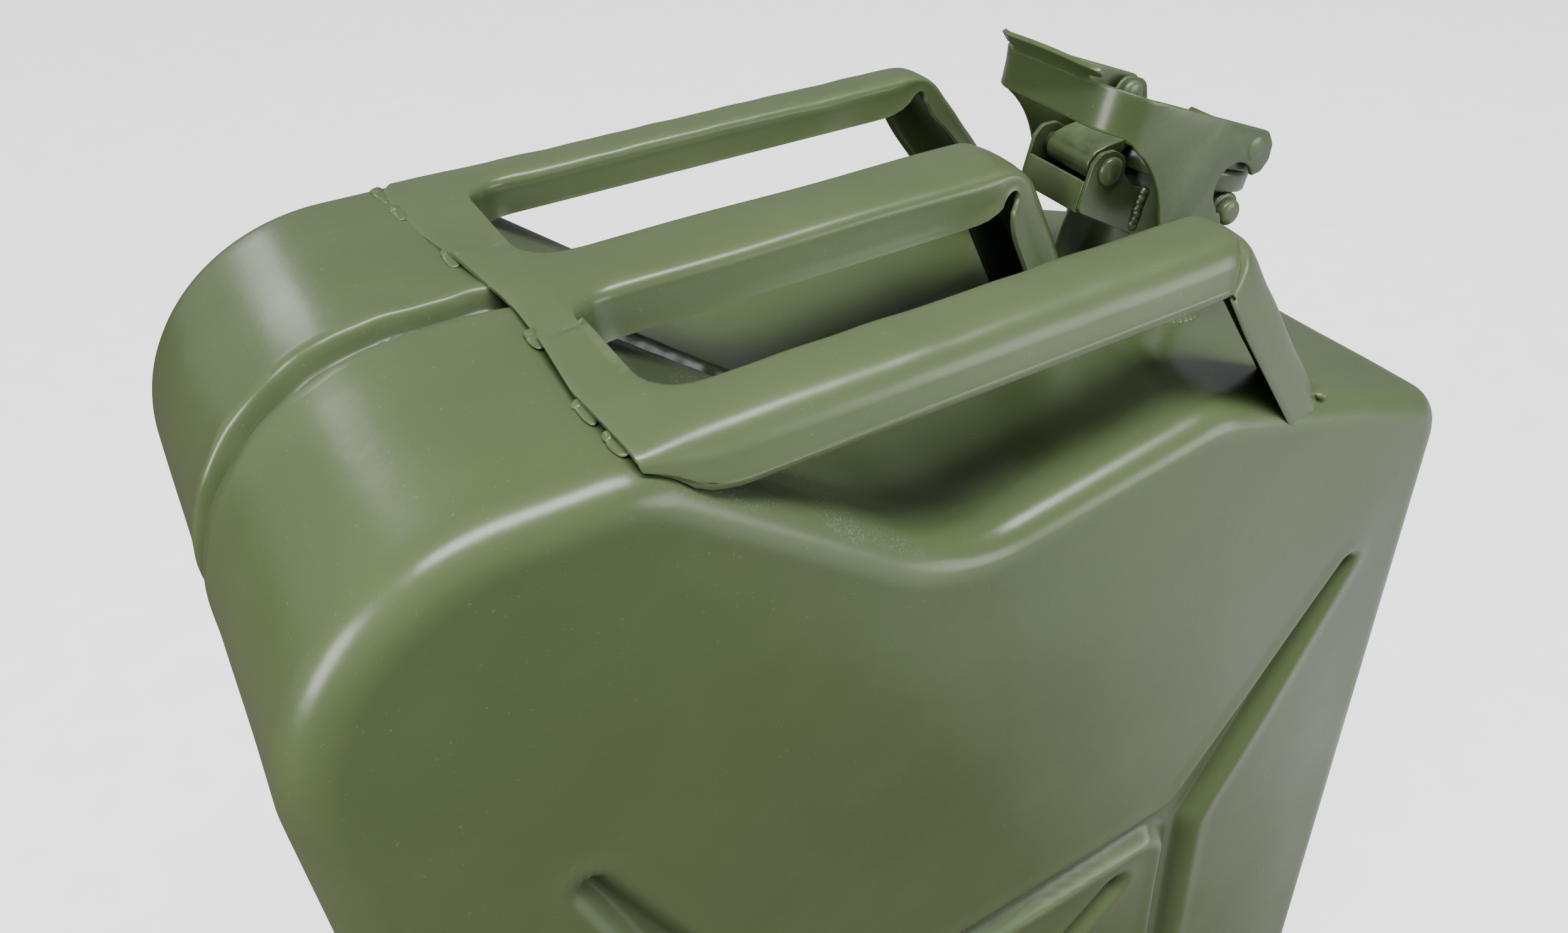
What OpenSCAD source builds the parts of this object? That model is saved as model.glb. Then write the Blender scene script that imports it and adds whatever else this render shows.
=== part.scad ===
// Twenty litre steel jerry can: two pressed half shells welded along a sunken seam,
// a three-bar carrying handle, and a filler neck with a lever-closed hinged lid.
// Origin is the middle of the base; +X is the spout end, +Z is up.

/* [Body] */
// Length of the can from rear wall to front wall
body_l = 345; // [340:1:352]
// Width of the can across the two big faces
body_w = 165; // [162:1:170]
// Height of the rear hump
hump_z = 443.5; // [438:0.5:450]
// Thickness of the body sheet
sheet_t = 1; // [0.8:0.1:1.4]
// Radius between the perimeter wall and a big face
edge_r = 10; // [8:0.5:12]
// Depth of the sunken seam channel
seam_d = 5; // [3:0.5:6]
// Half width of the seam channel at its lips
seam_w = 9; // [8:0.5:11]
// Slope of the front top and of the filler neck, degrees
tilt = 18; // [17:1:19]

/* [Face ribs] */
// Depth of the pressed channels in the big faces
rib_d = 3.5; // [2:0.5:5]
// Width of the rectangular frame channel
frame_w = 17; // [13:1:20]
// Width of the diagonal channels inside the frame
arm_w = 14; // [10:1:18]

/* [Handle] */
// Thickness of the handle sheet
handle_t = 1.5; // [1.2:0.1:2]
// Distance from the middle to the outer crease of an outer bar
bar_out = 77; // [75:1:77]
// Top width of an outer bar
bar_w = 18; // [16:1:22]
// Top width of the middle bar
mid_w = 26; // [22:1:26]
// Depth of the turned-down bar flanges
flange_h = 13; // [9:1:15]
// Forward end of the straight part of the outer bars
bar_x = 60; // [56:1:62]
// Forward end of the straight part of the middle bar
mid_x = 43; // [38:1:44]
// Slope of the outer legs below level, degrees
leg_a = 56; // [54:1:60]
// Slope of the middle leg below level, degrees
mid_a = 77; // [76:1:82]

/* [Filler neck] */
// Distance of the rim centre in front of the middle of the can
rim_x = 114; // [113:1:116]
// Height of the rim centre
rim_z = 428; // [427:1:430]
// Outer radius of the neck tube
neck_r = 23.5; // [22.5:0.5:23.5]
// Wall of the neck tube
neck_t = 1.2; // [1:0.1:1.6]

/* [Lid and lever] */
// Compressed thickness of the gasket
gasket_t = 3; // [2.5:0.1:3.5]
// Thickness of the lid and lever sheet
lid_t = 1.5; // [1.2:0.1:1.5]
// Running clearance of the hinge pin and the lever rivets
fit = 0.06; // [0.03:0.01:0.1]

/* [Hidden] */
$fn = 96;
eps = 0.01;
half_l = body_l / 2;
half_w = body_w / 2;
flat_z = 396.5;
flat_x = 66;
nose_drop = (half_l - flat_x) * tan(tilt);
handle_z = hump_z + handle_t;

// Corners of the side outline, counter-clockwise: x, z, fillet radius.
corners = [
  [-half_l, 0, 24], [half_l, 0, 24], [half_l, flat_z - nose_drop, 20],
  [flat_x, flat_z, 36], [-20, 385, 45], [-91, hump_z, 25], [-half_l, hump_z, 56]];
n_c = len(corners);

function pt(i) = let (c = corners[(i + n_c) % n_c]) [c[0], c[1]];
function rad(i) = corners[(i + n_c) % n_c][2];
function ang(i) = let (v = pt(i + 1) - pt(i)) atan2(v[1], v[0]);
function wrap(a) = a > 180 ? a - 360 : (a < -180 ? a + 360 : a);
function turn(i) = wrap(ang(i) - ang(i - 1));
function cut(i) = rad(i) * tan(abs(turn(i)) / 2);
function dir(a) = [cos(a), sin(a)];
function side(i) = turn(i) > 0 ? 1 : -1;
function centre(i) =
  pt(i) - dir(ang(i - 1)) * cut(i) + dir(ang(i - 1) + 90) * rad(i) * side(i);

// Side outline moved inward by d; a large fillet gets more steps.
function steps(i) = rad(i) > 50 ? 14 : 6;
function ring(d) = [for (i = [0 : n_c - 1], s = [0 : steps(i)])
  centre(i) + (rad(i) - side(i) * d)
    * dir(ang(i - 1) - 90 * side(i) + turn(i) * s / steps(i))];

// Closed sweep of a section round the side outline; section points are [inset, y].
module around(section) {
  n_s = len(section);
  loops = [for (q = section) ring(q[0])];
  n_r = len(loops[0]);
  points = [for (k = [0 : n_s - 1], p = loops[k]) [p[0], section[k][1], p[1]]];
  faces = [for (k = [0 : n_s - 1], m = [0 : n_r - 1])
    let (a = k * n_r, b = ((k + 1) % n_s) * n_r, c = (m + 1) % n_r)
      [a + m, a + c, b + c, b + m]];
  polyhedron(points, faces);
}

// Flat plate in the side plane, between two y values.
module side_plate(y1, y2) {
  translate([0, y2, 0]) rotate([90, 0, 0]) linear_extrude(y2 - y1) children();
}

wall_arc = [0 : 22.5 : 90];
wall_reach = 15;
face_lap = 3;
seam_flat = 4.5;
shell_section = concat(
  [[edge_r + face_lap, -half_w]],
  [for (a = wall_arc) [edge_r - edge_r * sin(a), edge_r - half_w - edge_r * cos(a)]],
  [[0, -seam_w], [seam_d, -seam_flat], [seam_d, 0],
   [seam_d + sheet_t, 0], [seam_d + sheet_t, -seam_flat - sheet_t / 2],
   [sheet_t, -seam_w - sheet_t / 2]],
  [for (a = wall_arc) let (b = 90 - a, k = edge_r - sheet_t)
    [edge_r - k * sin(b), edge_r - half_w - k * cos(b)]],
  [[edge_r + face_lap, sheet_t - half_w]]);

// Pressed channels of a big face, drawn in the side plane and grown by g.
frame_x = 88;
frame_lo = 92;
frame_hi = 230;
function arc(c, r, a1, a2) = [for (k = [0 : 6]) c + r * dir(a1 + (a2 - a1) * k / 6)];
module kite(tip, tip_r, base, base_r) {
  a = atan2(base[1] - tip[1], base[0] - tip[0]);
  polygon(concat(arc(tip, tip_r, a + 90, a + 270), arc(base, base_r, a - 90, a + 90)));
}
module face_ribs(g) {
  in = frame_w + g;
  difference() {
    translate([-frame_x - g, frame_lo - g])
      square([2 * (frame_x + g), frame_hi - frame_lo + 2 * g]);
    translate([-frame_x + in, frame_lo + in])
      square([2 * (frame_x - in), frame_hi - frame_lo - 2 * in]);
  }
  base_x = frame_x - frame_w / 2;
  top_z = frame_hi - frame_w / 2;
  low_z = frame_lo + frame_w / 2;
  kite([137, 308], 5 + g, [base_x, top_z], 13 + g);
  kite([-122, 338], 6 + g, [-base_x, top_z], 13 + g);
  kite([135, 38], 5 + g, [base_x, low_z], 13 + g);
  kite([-135, 38], 5 + g, [-base_x, low_z], 13 + g);
  mid_z = (frame_lo + frame_hi) / 2;
  for (s = [-1, 1])
    kite([-s * 48, mid_z - 38], arm_w / 2 + g, [s * 48, mid_z + 38], arm_w / 2 + g);
}

// Neck frame: u forward along the rim, w outward along the neck axis.
module neck_frame() {
  translate([rim_x, 0, rim_z]) rotate([0, tilt, 0]) children();
}
function rise(x) = flat_z - (x - flat_x) * tan(tilt);
neck_len = (rim_z - rise(rim_x)) * cos(tilt);

// Plate in the neck frame's u-w plane, between two y values.
module neck_plate(y1, y2) {
  neck_frame() side_plate(y1, y2) children();
}
module neck_rod(r, w1, w2) {
  neck_frame() translate([0, 0, w1]) cylinder(r = r, h = w2 - w1);
}
module cross_rod(u, w, r, y1, y2) {
  neck_frame() translate([u, y1, w]) rotate([-90, 0, 0]) cylinder(r = r, h = y2 - y1);
}

module half_shell() {
  difference() {
    union() {
      around(shell_section);
      side_plate(-half_w, sheet_t - half_w) polygon(ring(edge_r + face_lap / 2));
      side_plate(sheet_t / 2 - half_w, rib_d + sheet_t - half_w) face_ribs(sheet_t);
    }
    side_plate(-half_w - 1, rib_d - half_w) face_ribs(0);
    neck_rod(neck_r, -neck_len - wall_reach, wall_reach - neck_len);
  }
}
module right_half_shell() {
  color("#5f6f45") half_shell();
}
module left_half_shell() {
  color("#5f6f45") mirror([0, 1, 0]) half_shell();
}

bead_h = 1.6;
bead_w = 2.5;
bead_gap = 3;
module seam_weld() {
  color("#59693f") difference() {
    around([[seam_d, -bead_w], [seam_d - bead_h * 0.7, -bead_w * 0.7], [seam_d - bead_h, 0],
      [seam_d - bead_h * 0.7, bead_w * 0.7], [seam_d, bead_w]]);
    neck_rod(neck_r + bead_gap, -neck_len - wall_reach, wall_reach - neck_len);
  }
}

// Handle: one pressing with a root strip, three channel bars and three legs.
root_x = -103;
slot_x = -84;
slot_r = 12;
bend_r = 15;
bar_in = bar_out - bar_w;
mid_h = mid_w / 2;
skew = 3;
inner_share = 0.7;
sheet_l = 60;
strip_x = root_x + 20;
flange_x = slot_x + 4;
bend_clear = 6;
module slot_shape() {
  gap = bar_in - mid_h;
  translate([slot_x + slot_r, mid_h]) square([body_l, gap]);
  translate([slot_x, mid_h + slot_r]) square([body_l, gap - 2 * slot_r]);
  for (y = [mid_h + slot_r, bar_in - slot_r]) translate([slot_x + slot_r, y]) circle(slot_r);
}
module top_sheet() {
  translate([0, 0, hump_z]) linear_extrude(handle_t) difference() {
    translate([root_x, -bar_out]) square([sheet_l, 2 * bar_out]);
    for (s = [0, 1]) mirror([0, s]) slot_shape();
  }
}
// Channel section of an outer bar, from its inner to its outer flange.
outer_section = [
  [bar_in, 0], [bar_out, 0], [bar_out + skew, -flange_h], [bar_out + skew - handle_t, -flange_h],
  [bar_out - handle_t, -handle_t], [bar_in + handle_t, -handle_t],
  [bar_in + handle_t, -flange_h * inner_share], [bar_in, -flange_h * inner_share]];
mid_section = [
  [-mid_h, 0], [mid_h, 0], [mid_h, -flange_h], [mid_h - handle_t, -flange_h],
  [mid_h - handle_t, -handle_t], [handle_t - mid_h, -handle_t],
  [handle_t - mid_h, -flange_h], [-mid_h, -flange_h]];
module along_x(x1, x2, section) {
  translate([x1, 0, 0]) rotate([90, 0, 90]) linear_extrude(x2 - x1) polygon(section);
}
// One bar as a bent strip seen from the side: straight, bend, leg.
leg_len = 95;
function bend_line(x, a, d) = concat([[strip_x, -d]],
  [for (k = [0 : 8]) [x, -bend_r] + (bend_r - d) * dir(90 - a * k / 8)],
  [[x, -bend_r] + (bend_r - d) * dir(90 - a) + leg_len * dir(-a)]);
function flip(v) = [for (k = [len(v) - 1 : -1 : 0]) v[k]];
module bar(x, a, y1, y2, section) {
  translate([0, 0, handle_z]) {
    side_plate(y1, y2) polygon(concat(bend_line(x, a, 0), flip(bend_line(x, a, handle_t))));
    along_x(flange_x, x - bend_clear, section);
    translate([x, 0, -bend_r]) rotate([0, a, 0]) translate([0, 0, bend_r])
      along_x(bend_clear + 1, leg_len, section);
  }
}
module under_body() {
  side_plate(-half_w, half_w) polygon(ring(0));
}
module carrying_handle() {
  color("#64744a") difference() {
    union() {
      top_sheet();
      bar(bar_x, leg_a, bar_in, bar_out, outer_section);
      mirror([0, 1, 0]) bar(bar_x, leg_a, bar_in, bar_out, outer_section);
      bar(mid_x, mid_a, -mid_h, mid_h, mid_section);
    }
    under_body();
  }
}
module weld_blob(x, y, z, r) {
  translate([x, y, z]) sphere(r, $fn = 32);
}
root_weld_r = 1.4;
root_weld_half = 5;
module handle_root_welds() {
  color("#59693f") difference() {
    for (y = [-70, -56, -24, 24, 56, 70]) {
      translate([root_x, y - root_weld_half, hump_z]) rotate([-90, 0, 0])
        cylinder(r = root_weld_r, h = 2 * root_weld_half);
      for (e = [-1, 1]) weld_blob(root_x, y + e * root_weld_half, hump_z, root_weld_r);
    }
    under_body();
    carrying_handle();
  }
}
// Where the front surface of a leg meets the sloping top, as x and z.
function foot(x, a) = let (x0 = x + bend_r * sin(a), z0 = handle_z - bend_r * (1 - cos(a)),
  t = (z0 - rise(x0)) / (sin(a) - tan(tilt) * cos(a))) [x0 + t * cos(a), z0 - t * sin(a)];
module foot_welds(x, a, places, r) {
  p = foot(x, a);
  difference() {
    for (s = [-1, 1], y = places) weld_blob(p[0], s * y, p[1], r);
    under_body();
    translate([0, 0, handle_z]) side_plate(-half_w, half_w)
      polygon(concat(bend_line(x, a, 0), [[strip_x, -2 * leg_len]]));
  }
}
foot_weld_r = 2.6;
module handle_foot_welds() {
  color("#59693f") {
    foot_welds(bar_x, leg_a, [bar_in + 4, bar_out - 4], foot_weld_r);
    foot_welds(mid_x, mid_a, [mid_h - 5], foot_weld_r);
  }
}

rim_r = neck_r + 0.7;
module filler_neck() {
  color("#64744a") neck_frame() rotate_extrude()
    polygon([[neck_r - neck_t, 0], [rim_r - 0.6, 0], [rim_r, -0.6], [rim_r, -1.8],
      [rim_r - 0.7, -2.5], [neck_r, -neck_len - 6], [neck_r - neck_t, -neck_len - 6]]);
}
module neck_weld() {
  color("#59693f") neck_frame() rotate_extrude()
    translate([0, eps - neck_len])
      polygon([[neck_r, 0], [neck_r + 2.6, 0], [neck_r + 1.6, 1.4], [neck_r, 2.6]]);
}

// Catch lugs: round studs on the sides of the neck that the lever hooks bear on.
lug_u = 4.9;
lug_w = -8.2;
lug_r = 4;
cheek_in = 26.5;
cheek_out = cheek_in + lid_t;
module catch_lug() {
  difference() {
    union() {
      cross_rod(lug_u, lug_w, lug_r, 15, cheek_out + 0.6);
      cross_rod(lug_u, lug_w, lug_r + 1.6, 15, cheek_in - 0.7);
    }
    neck_rod(neck_r, -30, 10);
  }
}
module left_catch_lug() {
  color("#64744a") catch_lug();
}
module right_catch_lug() {
  color("#64744a") mirror([0, 1, 0]) catch_lug();
}

// Hinge: U-shaped bracket on the rear of the neck with a headed pin.
pin_u = -36;
pin_w = -3;
pin_r = 3;
ear_in = 12.5;
ear_t = 1.5;
ear_r = 5.2;
web_u = -43;
web_lo = -16;
head_r = 4.4;
head_h = 2;
module ear_shape() {
  polygon([[web_u, web_lo], [-16, -22], [-16, -7], [-24, -7], [pin_u + 4, 0.3], [web_u, 0.3]]);
  translate([pin_u, pin_w]) circle(ear_r);
}
module hinge_bracket() {
  color("#64744a") difference() {
    union() {
      for (y = [-ear_in - ear_t, ear_in]) neck_plate(y, y + ear_t) ear_shape();
      neck_plate(-ear_in - eps, ear_in + eps)
        polygon([[web_u, web_lo], [web_u + ear_t, web_lo], [web_u + ear_t, web_lo / 2],
          [web_u, web_lo / 2]]);
    }
    cross_rod(pin_u, pin_w, pin_r, -20, 20);
    neck_rod(neck_r, -30, 10);
  }
}
module hinge_bracket_welds() {
  color("#59693f") difference() {
    for (s = [-1, 1])
      neck_frame() translate([-19.3, s * (ear_in + ear_t), -19]) cylinder(r = 1.6, h = 11);
    hinge_bracket();
    neck_rod(neck_r, -30, 10);
  }
}
module hinge_pin() {
  far = ear_in + ear_t;
  color("#6a7a50") {
    cross_rod(pin_u, pin_w, pin_r, -far - 0.5, far + 0.5);
    cross_rod(pin_u, pin_w, head_r, -far - head_h, -far);
    cross_rod(pin_u, pin_w, head_r, far, far + head_h);
  }
}

// Breather: straight air pipe down the rear inside of the neck into the can.
air_r = 4;
air_bore = 3;
air_u = -16.5;
air_top = -5;
air_len = 72;
module breather_tube() {
  color("#8b8f86") neck_frame() translate([air_u, 0, air_top - air_len]) difference() {
    cylinder(r = air_r, h = air_len);
    translate([0, 0, -1]) cylinder(r = air_bore, h = air_len + 2);
  }
}
module breather_clip() {
  clip_w = -36;
  color("#8b8f86") neck_frame() translate([0, 0, clip_w]) difference() {
    union() {
      translate([air_u, 0, 0]) cylinder(r = air_r + 1, h = 8);
      translate([-neck_r, -2.5, 0]) cube([4, 5, 8]);
    }
    translate([air_u, 0, -1]) cylinder(r = air_r, h = 10);
    difference() {
      translate([0, 0, -1]) cylinder(r = neck_r + 10, h = 10);
      translate([0, 0, -1]) cylinder(r = neck_r - neck_t, h = 10);
    }
  }
}

// Lid: dished cap over the rim, gasket inside it, bridge on top.
cap_in = 25;
cap_r = 26.2;
cap_top = gasket_t + 1.2;
bridge_top = cap_top + lid_t;
rivet_r = 2.5;
module lid_cap() {
  color("#64744a") neck_frame() rotate_extrude()
    polygon([[rivet_r, gasket_t], [cap_in, gasket_t], [cap_in, -2.5], [cap_r, -2.5],
      [cap_r, cap_top - 1], [cap_r - 1, cap_top], [rivet_r, cap_top]]);
}
module lid_gasket() {
  color("#1d1e1c") neck_frame() rotate_extrude()
    polygon([[18, 0.4], [18.4, 0], [24.4, 0], [24.8, 0.4], [24.8, gasket_t], [18, gasket_t]]);
}
module lid_rivet() {
  color("#6a7a50") neck_frame() rotate_extrude()
    polygon([[0, 1.4], [4.5, 1.4], [5.5, 2.2], [5.5, gasket_t], [rivet_r, gasket_t],
      [rivet_r, bridge_top], [5, bridge_top], [4.4, bridge_top + 1.3],
      [2.5, bridge_top + 2], [0, bridge_top + 2]]);
}

pivot_u = 4;
pivot_w = 12;
pivot_r = 3;
side_h = 17.2;
arm_h = 12.2;
lip_u = 21;
module bridge_plan() {
  translate([-27, -arm_h]) square([39, 2 * arm_h]);
  translate([pivot_u - 8, -cheek_in + 0.2]) square([16, 2 * (cheek_in - 0.2)]);
  translate([10, -16]) square([lip_u - 10 - 1.5, 32]);
}
module lid_bridge() {
  knuckle = 4.6;
  color("#64744a") difference() {
    union() {
      neck_frame() translate([0, 0, cap_top]) linear_extrude(lid_t) bridge_plan();
      for (y = [cheek_in - 0.2 - lid_t, -cheek_in + 0.2]) neck_plate(y, y + lid_t) {
        translate([pivot_u - 8, cap_top]) square([16, side_h - cap_top - 6]);
        translate([pivot_u - 2, cap_top]) square([4, side_h - cap_top]);
        for (k = [-2, 2]) translate([pivot_u + k, side_h - 6]) circle(6);
      }
      neck_plate(-16, 16) {
        translate([lip_u - 3, cap_top]) polygon([[0, 0], [1.5, 0], [3.6, 8], [2.1, 8]]);
        translate([lip_u + 1.2, cap_top + 8]) rotate(15) square([1.5, 3], center = true);
      }
      neck_plate(-arm_h, arm_h) {
        translate([pin_u, pin_w]) circle(knuckle);
        polygon([[pin_u - 3.4, pin_w + 3], [pin_u, pin_w], [pin_u + 4.2, pin_w + 1.4],
          [pin_u + 4.4, 1], [-28, cap_top], [-26, cap_top], [-26, bridge_top], [-31, bridge_top]]);
      }
    }
    cross_rod(pin_u, pin_w, pin_r + fit, -20, 20);
    for (s = [-30, 20]) cross_rod(pivot_u, pivot_w, pivot_r, s, s + 10);
    neck_frame() cylinder(r = rivet_r, h = 20);
  }
}

// Lever: pressed channel seen from above as a U, cut to a side profile with two hooks.
wall_u = -52;
corner_r = 11;
notch_r = 7.6;
hook_gap = 0.12;
module lever_plan(grow) {
  r = corner_r + grow;
  wide = cheek_in + grow;
  translate([wall_u + corner_r, -wide]) square([80, 2 * wide]);
  translate([wall_u - grow, -wide + r]) square([80, 2 * (wide - r)]);
  for (s = [-1, 1]) translate([wall_u + corner_r, s * (wide - r)]) circle(r);
}
module lever_side() {
  difference() {
    polygon([[wall_u - 4, 21.8], [7, 17.6], [10.6, 14.2], [11.4, 9.5], [9.8, 6.2], [0, 3],
      [-1, -6], [1.8, -11.9], [3, -14], [2.4, -16], [-1, -18], [-5, -19.2], [-10, -18.6],
      [-14, -16.4], [-17.4, -12], [-19, -6.5], [-20.8, -0.5], [-23.6, 4.2],
      [-28.5, 7.6], [-36, 9.4], [wall_u - 4, 9.6]]);
    circle(notch_r);
    translate([lug_u, lug_w]) circle(lug_r + hook_gap);
  }
}
module locking_lever() {
  color("#64744a") difference() {
    union() {
      intersection() {
        neck_frame() translate([0, 0, -30]) linear_extrude(60) difference() {
          lever_plan(lid_t);
          lever_plan(0);
        }
        neck_plate(-40, 40) lever_side();
      }
      neck_plate(-20, 20) {
        top = 21.6;
        polygon([[wall_u, top - 1.5], [wall_u, top], [wall_u - 2.5, top + 3],
          [wall_u - 9, top + 4.6], [wall_u - 9.4, top + 3.1],
          [wall_u - 3.5, top + 1.6], [wall_u - 1.5, top - 1.5]]);
      }
    }
    for (s = [-30, 20]) cross_rod(pivot_u, pivot_w, pivot_r + fit, s, s + 10);
  }
}
module lever_rivets() {
  base = cheek_in - 0.2 - lid_t;
  color("#6a7a50") for (s = [0, 1]) mirror([0, s, 0]) {
    cross_rod(pivot_u, pivot_w, pivot_r, base - 0.5, cheek_out + 0.5);
    cross_rod(pivot_u, pivot_w, 4.6, cheek_out + 0.1, cheek_out + 1.7);
    cross_rod(pivot_u, pivot_w, 4.4, base - 1.5, base);
  }
}

left_half_shell();
right_half_shell();
seam_weld();
carrying_handle();
handle_root_welds();
handle_foot_welds();
filler_neck();
neck_weld();
left_catch_lug();
right_catch_lug();
hinge_bracket();
hinge_bracket_welds();
hinge_pin();
breather_tube();
breather_clip();
lid_cap();
lid_gasket();
lid_bridge();
lid_rivet();
locking_lever();
lever_rivets();
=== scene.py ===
import math

import bmesh
import bpy
import numpy as np
from mathutils import Matrix, Vector


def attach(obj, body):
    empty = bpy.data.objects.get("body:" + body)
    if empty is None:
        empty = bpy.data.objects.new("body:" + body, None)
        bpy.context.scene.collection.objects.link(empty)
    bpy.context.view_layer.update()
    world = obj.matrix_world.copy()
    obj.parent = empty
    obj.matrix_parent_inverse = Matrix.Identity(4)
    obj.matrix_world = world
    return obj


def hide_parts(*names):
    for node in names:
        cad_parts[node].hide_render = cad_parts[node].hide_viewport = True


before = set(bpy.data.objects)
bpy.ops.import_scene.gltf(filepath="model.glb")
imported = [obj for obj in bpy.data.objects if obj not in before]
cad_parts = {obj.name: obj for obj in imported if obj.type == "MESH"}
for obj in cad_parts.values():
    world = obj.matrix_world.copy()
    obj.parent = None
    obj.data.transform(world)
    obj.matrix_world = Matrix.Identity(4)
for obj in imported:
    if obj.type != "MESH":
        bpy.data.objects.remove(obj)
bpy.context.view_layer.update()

# Lengths are in millimetres until add_piece() turns them into metres.
MM = 0.001
HALF_L, HALF_W, HUMP_Z, EDGE_R = 172.5, 82.5, 443.5, 10.0
FLAT_X, FLAT_Z, TILT = 66.0, 396.5, math.radians(18)
RIM_X, RIM_Z, NECK_R = 114.0, 428.0, 23.5
HANDLE_Z, SHEET_T = 445.0, 1.5
FACE_MID_Z = 161.0  # middle of the pressed pattern on the big faces
BODY_MID = (0, 0, 200)  # a point inside the body, for facing its skins outward


def smooth(a, b, x):
    t = np.clip((np.asarray(x, float) - a) / (b - a), 0, 1)
    return t * t * (3 - 2 * t)


def ripple(size, waves, seed, *coords):
    """Seeded sum of sines over the coordinates, about -1 to 1."""
    rng = np.random.default_rng(seed)
    out = 0
    for _ in range(waves):
        way = rng.normal(size=len(coords))
        way = way / np.linalg.norm(way) * 2 * math.pi / (size * rng.uniform(0.6, 1.6))
        out = out + np.sin(sum(w * c for w, c in zip(way, coords)) + rng.uniform(0, 6.28))
    return out / waves * 1.4


# ---------------------------------------------------------------- mesh tools
def grid_faces(rows, cols, wrap=False):
    """Quads over a grid of points, closed across the columns when wrap is set."""
    r, c = np.meshgrid(np.arange(rows - 1), np.arange(cols if wrap else cols - 1), indexing="ij")
    n = (c + 1) % cols
    corners = [r * cols + c, r * cols + n, (r + 1) * cols + n, (r + 1) * cols + c]
    return np.stack(corners, -1).reshape(-1, 4)


def add_piece(name, verts, faces, material, inside=None, weld=0.0, sharp=None, keep=None):
    """Mesh from millimetre points; inside is a point the faces look away from, keep picks faces."""
    verts = np.asarray(verts, float).reshape(-1, 3)
    faces = [list(map(int, f)) for f in faces]
    if keep is not None:
        faces = [f for f in faces if keep(verts[f].mean(0))]
    mesh = bpy.data.meshes.new(name)
    mesh.from_pydata((verts * MM).tolist(), [], faces)
    bm = bmesh.new()
    bm.from_mesh(mesh)
    if weld:
        bmesh.ops.remove_doubles(bm, verts=bm.verts, dist=weld * MM)
    loose = [v for v in bm.verts if not v.link_faces]
    bmesh.ops.delete(bm, geom=loose, context="VERTS")
    bm.normal_update()
    if inside is None:
        bmesh.ops.recalc_face_normals(bm, faces=bm.faces)
    else:
        middle = Vector(inside) * MM
        facing = sum(f.normal.dot(f.calc_center_median() - middle) * f.calc_area() for f in bm.faces)
        if facing < 0:
            bmesh.ops.reverse_faces(bm, faces=bm.faces)
    bm.to_mesh(mesh)
    bm.free()
    mesh.shade_smooth()
    if sharp:
        mesh.set_sharp_from_angle(angle=math.radians(sharp))
    piece = bpy.data.objects.new(name, mesh)
    bpy.context.scene.collection.objects.link(piece)
    mesh.materials.append(material)
    return piece


def stand_in(piece, node, body):
    """Shows the piece in place of a CAD node and moves it with its body."""
    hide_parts(node)
    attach(piece, body)


def thicken(piece, amount, bevel, angle):
    """Gives a sheet its thickness, inward from the drawn surface, and rounds its edges."""
    solid = piece.modifiers.new("sheet", "SOLIDIFY")
    solid.thickness = amount * MM
    solid.offset = -1
    soften(piece, bevel, angle)


def soften(piece, width, angle):
    bevel = piece.modifiers.new("edge", "BEVEL")
    bevel.width = width * MM
    bevel.segments = 2
    bevel.limit_method = "ANGLE"
    bevel.angle_limit = math.radians(angle)


def join_parts(parts):
    """Stacks (verts, faces) lists into one."""
    verts, faces, base = [], [], 0
    for v, f in parts:
        v = np.asarray(v, float).reshape(-1, 3)
        verts.append(v)
        faces += [[int(i) + base for i in face] for face in f]
        base += len(v)
    return np.vstack(verts), faces


def neck(u, y, w):
    """Neck frame to can frame: u forward along the rim, w outward."""
    u, y, w = np.broadcast_arrays(np.asarray(u, float), y, w)
    c, s = math.cos(TILT), math.sin(TILT)
    return np.stack([RIM_X + u * c + w * s, y, RIM_Z - u * s + w * c], -1)


def turn_profile(profile, place, n=96, closed=False):
    """Revolves (radius, height) points; place maps (a, b, height) to the can frame."""
    profile = np.asarray(profile, float)
    ang = np.linspace(0, 2 * math.pi, n, endpoint=False)
    r, a = profile[:, 0:1], ang[None, :]
    verts = place(r * np.cos(a), r * np.sin(a), profile[:, 1:2] + 0 * a)
    faces = grid_faces(len(profile), n, wrap=True).tolist()
    if closed:
        last = (len(profile) - 1) * n
        faces += [[last + i, last + (i + 1) % n, (i + 1) % n, i] for i in range(n)]
    return verts.reshape(-1, 3), faces


def rounded(points, radii, steps=5):
    """Polyline or polygon (closed when radii covers every point) with arced corners."""
    points = [np.array(p, float) for p in points]
    n, out = len(points), []
    for i, p in enumerate(points):
        r = radii[i] if hasattr(radii, "__len__") else radii
        a, b = points[i - 1] - p, points[(i + 1) % n] - p
        la, lb = np.linalg.norm(a), np.linalg.norm(b)
        a, b = a / la, b / lb
        half = math.acos(np.clip(a @ b, -1, 1)) / 2
        cut = min(r / max(math.tan(half), 1e-6), 0.48 * la, 0.48 * lb)
        if r <= 0 or half > 1.5:
            out.append(p)
            continue
        p0, p1 = p + a * cut, p + b * cut
        for t in np.linspace(0, 1, steps):
            out.append((1 - t) ** 2 * p0 + 2 * t * (1 - t) * p + t * t * p1)
    return np.array(out)


def plate(outline, lo, hi, place):
    """Closed plate: outline (a, b) points between heights lo and hi, mapped by place."""
    n = len(outline)
    verts = np.vstack([place(outline[:, 0], outline[:, 1], np.full(n, h)) for h in (lo, hi)])
    faces = [list(range(n))[::-1], list(range(n, 2 * n))]
    faces += [[i, (i + 1) % n, n + (i + 1) % n, n + i] for i in range(n)]
    return verts, faces


def side_place(u, w, y):
    """Places an outline drawn in side view; one drawn in plan goes through neck() itself."""
    return neck(u, y, w)


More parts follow.
